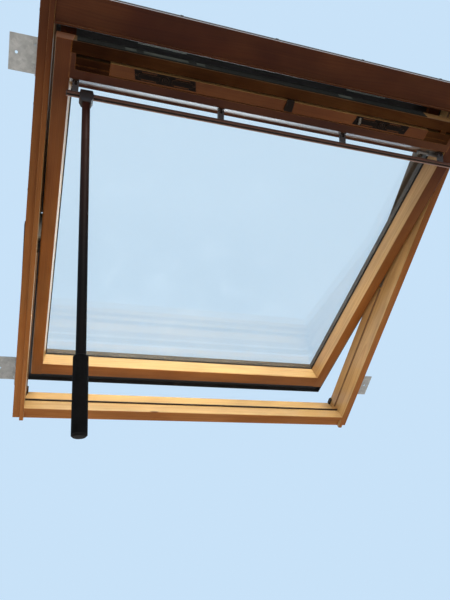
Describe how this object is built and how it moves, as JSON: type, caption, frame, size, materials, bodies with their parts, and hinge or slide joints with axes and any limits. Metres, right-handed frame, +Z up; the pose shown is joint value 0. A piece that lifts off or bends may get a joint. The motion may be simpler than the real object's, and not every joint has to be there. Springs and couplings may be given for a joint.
{
  "type": "roof window",
  "caption": "Centre-pivot timber roof window, open, with weather covers, top control bar, vent flap and a hooked operating rod.",
  "frame": {"origin": "centre of the frame's lower outer face, halfway through its depth", "axes": "+X to the right seen from the room, +Z up, the room and the upper end of the slope towards -Y, built into a 30 degree roof pitch"},
  "size_m": [1.264, 1.1987, 1.0464],
  "materials": {
    "pine": "clear lacquer, satin",
    "glass": "clear",
    "spacer": "satin",
    "seal": "matte",
    "cover": "fine matte",
    "hinge_steel": "zinc plated",
    "galvanised": "zinc plated",
    "fitting": "worn dark lacquer",
    "bar": "satin brown",
    "bolt": "satin",
    "bush": "matte",
    "rod": "satin dark",
    "hook": "satin",
    "grip": "foam"
  },
  "bodies": {
    "frame": {"jamb_left": "pine", "jamb_right": "pine", "sill": "pine", "head": "pine", "sill_gasket": "seal", "jamb_gaskets": "seal", "corner_rubbers": "seal", "strike_plate": "hinge_steel", "frame_hinge_left": "hinge_steel", "frame_hinge_right": "hinge_steel", "bolt_bush": "bush", "jamb_cap_left": "cover", "jamb_cap_right": "cover", "side_hood_left": "cover", "side_hood_right": "cover", "head_hood": "cover", "sill_cover": "cover", "install_brackets": "galvanised"},
    "sash": {"stile_left": "pine", "stile_right": "pine", "bottom_rail": "pine", "top_rail": "pine", "cap_rail": "pine", "inner_pane": "glass", "outer_pane": "glass", "glass_spacer": "spacer", "inner_gasket": "seal", "outer_gasket": "seal", "low_cover_left": "cover", "low_cover_right": "cover", "high_cover_left": "cover", "high_cover_right": "cover", "bottom_cover": "cover", "top_cover": "cover", "sash_gaskets": "seal", "sash_hinge_left": "hinge_steel", "sash_hinge_right": "hinge_steel", "lock_case": "hinge_steel", "flap_end_blocks": "pine", "flap_pins": "galvanised", "bracket_bases": "fitting", "bolt_guide": "bolt"},
    "vent_flap": {"vent_flap": "pine", "fitting_left": "fitting", "fitting_right": "fitting", "fitting_rivets": "fitting", "flap_catch": "fitting"},
    "control_bar": {"control_bar": "bar", "bar_brackets": "bar", "bracket_pins": "fitting"},
    "rod": {"rod_hook": "hook", "rod_tube": "rod", "rod_grip": "grip", "rod_end_cap": "hook"},
    "barrel_bolt": {"barrel_bolt": "bolt"}
  },
  "joints": [
    {"name": "sash_pivot", "type": "hinge", "parent": "frame", "child": "sash", "pos_m": [0, -0.48096, 0.34696], "axis": [1, 0, 0], "range_deg": [-13.1, 66.9]},
    {"name": "control_bar_swing", "type": "hinge", "parent": "sash", "child": "control_bar", "pos_m": [0, -0.91197, 0.42441], "axis": [-1, 0, 0], "range_deg": [0, 25]},
    {"name": "vent_flap_tilt", "type": "hinge", "parent": "sash", "child": "vent_flap", "pos_m": [0, -0.94577, 0.43488], "axis": [1, 0, 0], "range_deg": [0, 20]},
    {"name": "rod_swing", "type": "hinge", "parent": "control_bar", "child": "rod", "pos_m": [-0.457, -0.90308, 0.39892], "axis": [1, 0, 0], "range_deg": [-66.9, 13.1]},
    {"name": "barrel_bolt_slide", "type": "slide", "parent": "sash", "child": "barrel_bolt", "axis": [1, 0, 0], "range_m": [0, 0.018]}
  ],
  "couplings": [
    {"joint": "vent_flap_tilt", "follows": "control_bar_swing", "ratio": 0.8},
    {"joint": "rod_swing", "follows": "sash_pivot", "ratio": -1}
  ]
}
